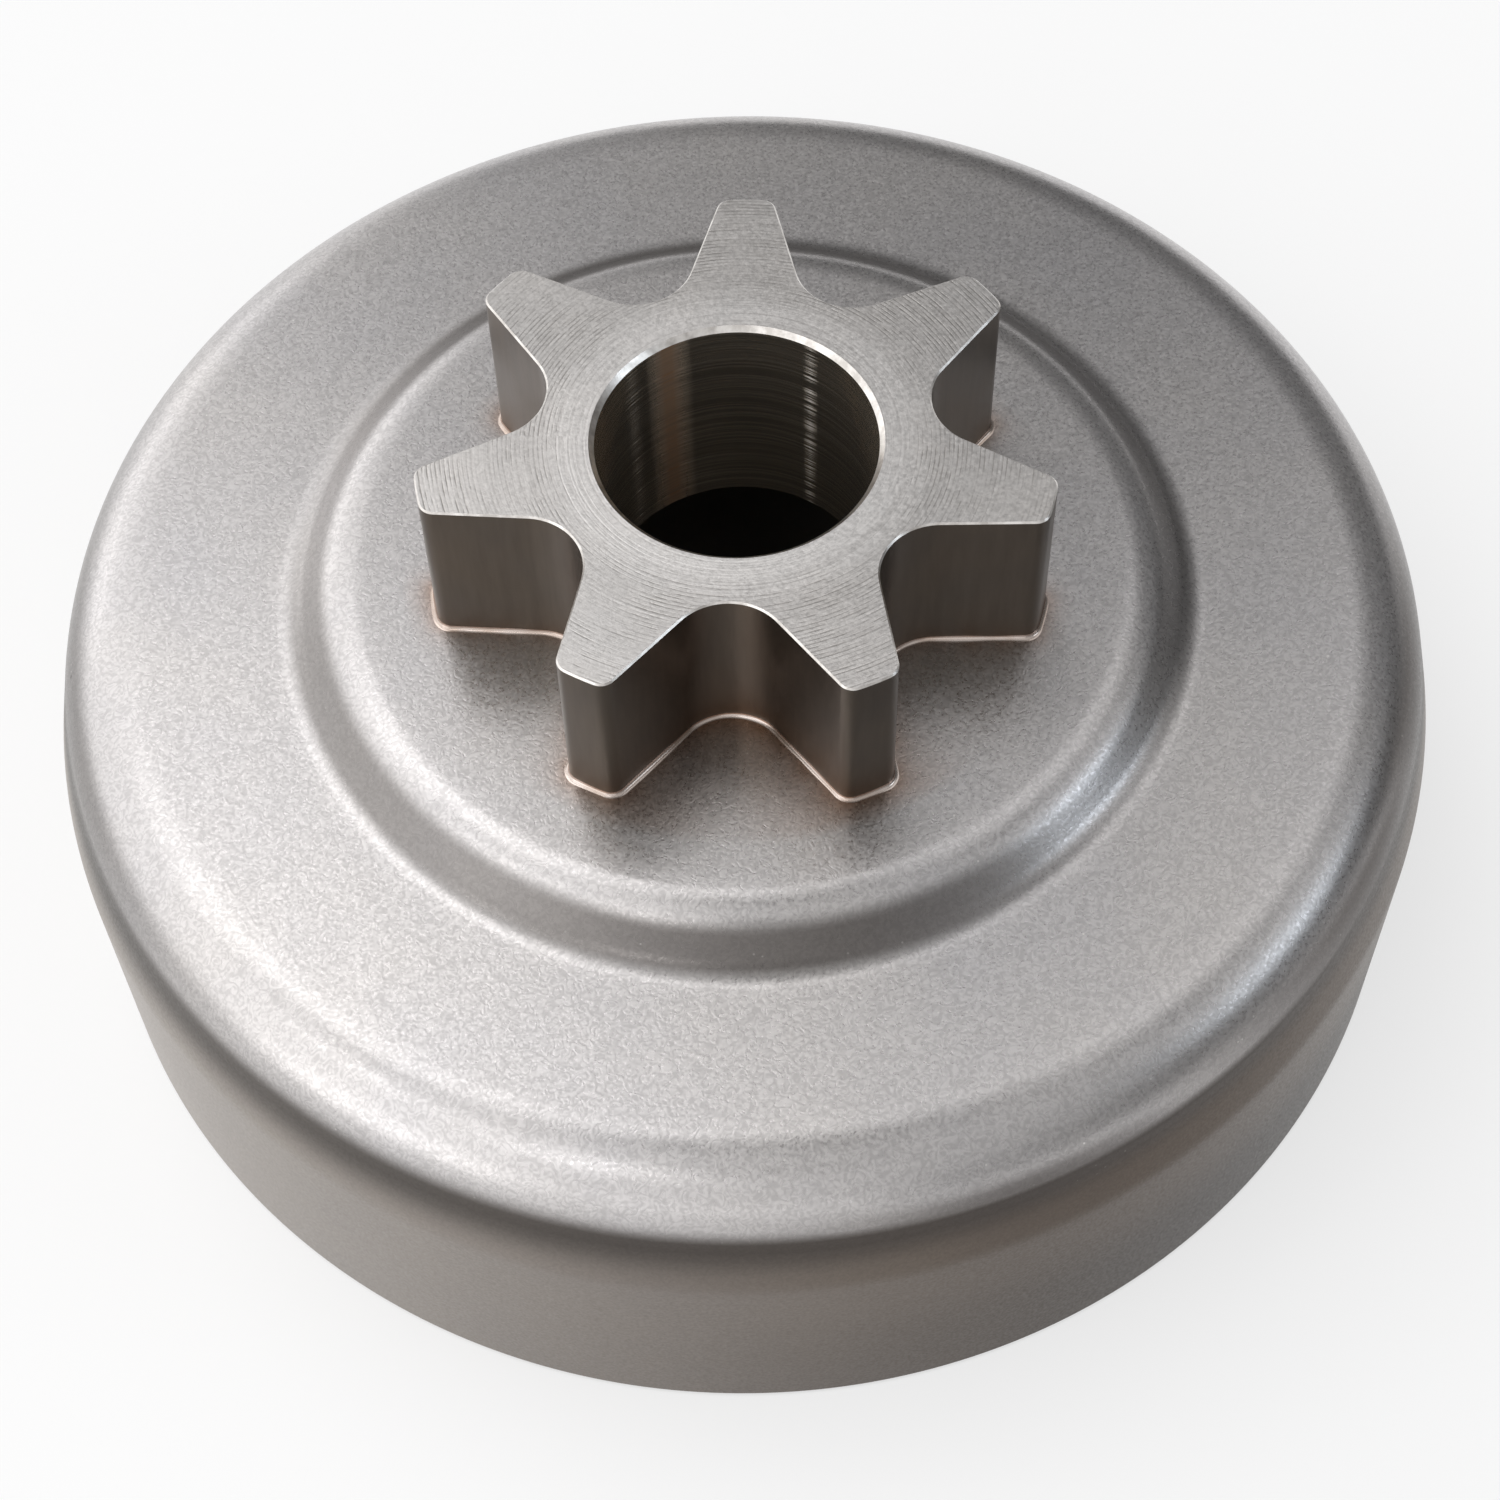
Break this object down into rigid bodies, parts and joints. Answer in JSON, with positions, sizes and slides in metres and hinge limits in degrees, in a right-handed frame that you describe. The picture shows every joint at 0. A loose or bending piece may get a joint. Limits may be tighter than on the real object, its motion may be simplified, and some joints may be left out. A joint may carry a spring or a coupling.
{
  "type": "chainsaw clutch drum with spur sprocket",
  "caption": "Steel clutch drum, a round cup open below, with a toothed spur sprocket brazed to its raised top for driving a saw chain.",
  "frame": {"origin": "centre of the drum's open rim, which it stands on", "axes": "+Z along the common axis, from the rim to the sprocket's face; +Y through the middle of one tooth"},
  "size_m": [0.0838, 0.0838, 0.0371],
  "materials": {
    "tumbled_steel": "deep-drawn steel, vibratory tumbled to a satin grey",
    "hardened_steel": "hardened steel, dark flanks, turned face and bore",
    "copper_braze": "furnace-brazed copper bead"
  },
  "bodies": {
    "root": {"drum_cup": "tumbled_steel", "spur_sprocket": "hardened_steel", "braze_fillet": "copper_braze"}
  },
  "joints": []
}
